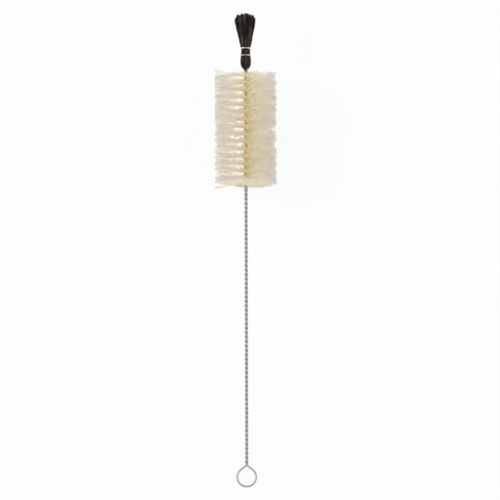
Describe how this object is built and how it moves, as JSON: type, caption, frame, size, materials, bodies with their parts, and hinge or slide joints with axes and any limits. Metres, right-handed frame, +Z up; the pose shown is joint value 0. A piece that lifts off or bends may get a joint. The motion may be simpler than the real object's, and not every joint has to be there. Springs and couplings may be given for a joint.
{
  "type": "bottle brush",
  "caption": "Bottle brush: a folded and twisted wire with a hanging eye, a round head of pale bristles, and a flared black bristle tuft bound on the tip.",
  "frame": {"origin": "on the table, under the middle of the brush as it lies", "axes": "+Y along the brush from the hanging eye to the tuft, +X across it in the plane of the eye, +Z up"},
  "size_m": [0.0521, 0.3984, 0.0582],
  "materials": {
    "galvanised_wire": "bright galvanised drawn wire",
    "pale_bristle": "natural bristle, golden at the root and greyish white at the tip",
    "black_bristle": "stiff black bristle with a slight sheen",
    "binding_wire": "pale bright wire"
  },
  "bodies": {
    "root": {"wire": "galvanised_wire", "bristles": "pale_bristle", "tuft": "black_bristle", "lower_binding": "binding_wire", "upper_binding": "binding_wire"}
  },
  "joints": []
}
